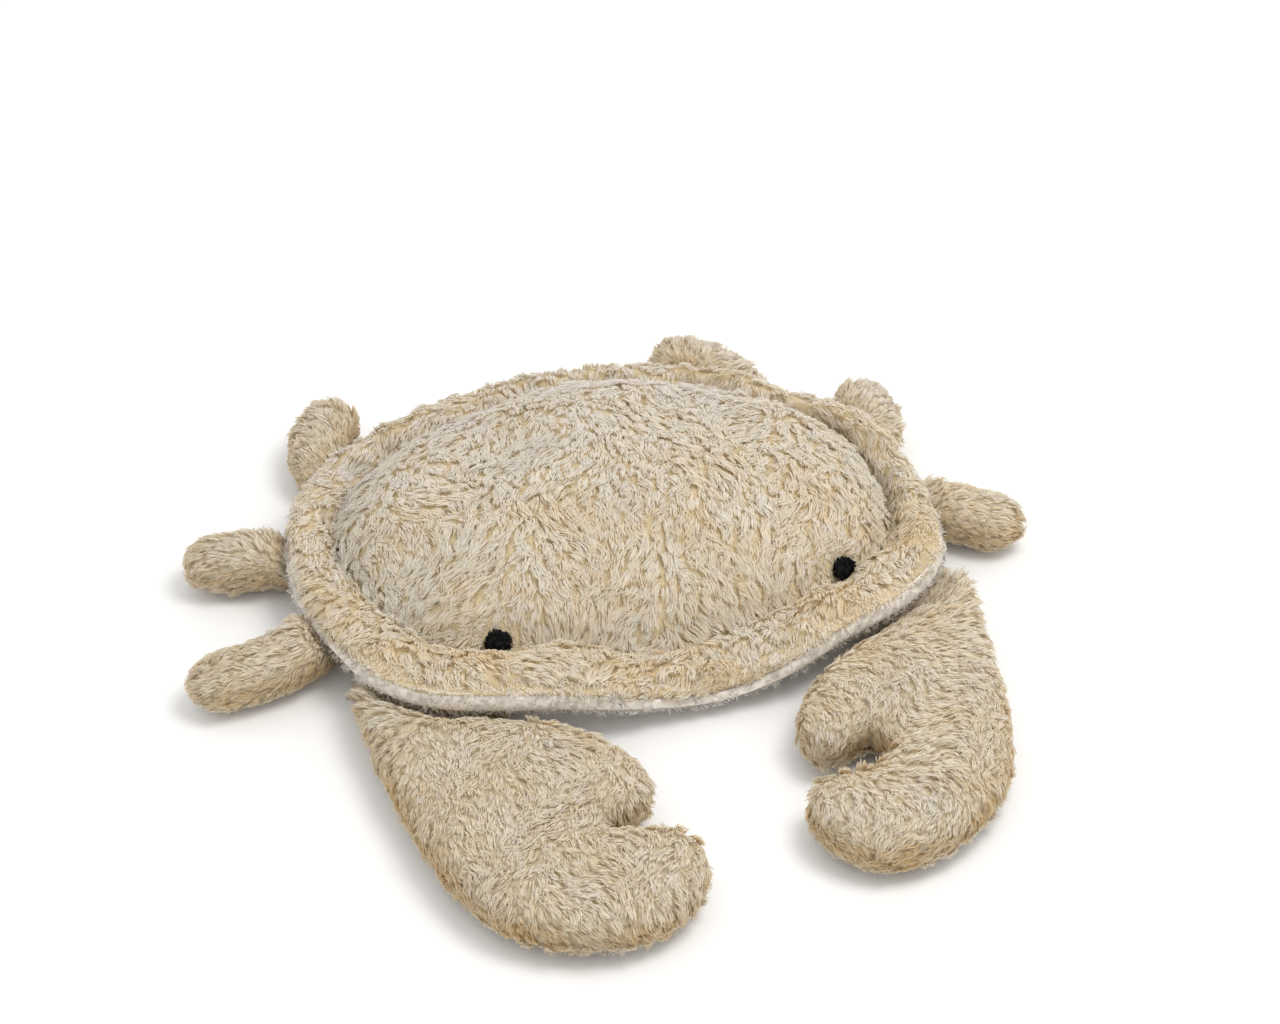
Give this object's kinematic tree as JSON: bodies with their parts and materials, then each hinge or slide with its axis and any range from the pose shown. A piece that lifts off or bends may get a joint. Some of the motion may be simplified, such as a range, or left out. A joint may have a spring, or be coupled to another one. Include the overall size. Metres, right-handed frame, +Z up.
{
  "type": "stuffed crab heat pillow",
  "caption": "Flat plush crab with a quilted oval shell, open claws and stub legs, that holds a grain heat pack behind a slit in its pale underside.",
  "frame": {"origin": "centre of the flat middle of the underside, on which the shell lies", "axes": "+Z up, the crab faces -Y, +X towards the right-hand side of someone who looks at its face"},
  "size_m": [0.4696, 0.4766, 0.0686],
  "materials": {
    "beige_plush": "long-pile plush",
    "white_plush": "short-pile plush",
    "wadding": "loose fibre",
    "cotton": "plain woven",
    "closure_tape": "hook and loop tape",
    "black_felt": "felt"
  },
  "bodies": {
    "root": {"carapace_top": "beige_plush", "claw_left": "beige_plush", "claw_right": "beige_plush", "leg_left_front": "beige_plush", "leg_left_middle": "beige_plush", "leg_left_back": "beige_plush", "leg_right_front": "beige_plush", "leg_right_middle": "beige_plush", "leg_right_back": "beige_plush", "carapace_underside": "white_plush", "body_wadding": "wadding", "border_wadding": "wadding", "heat_pack": "cotton", "closure_hook_strip": "closure_tape", "closure_loop_strip": "closure_tape", "eye_left": "black_felt", "eye_right": "black_felt"}
  },
  "joints": []
}
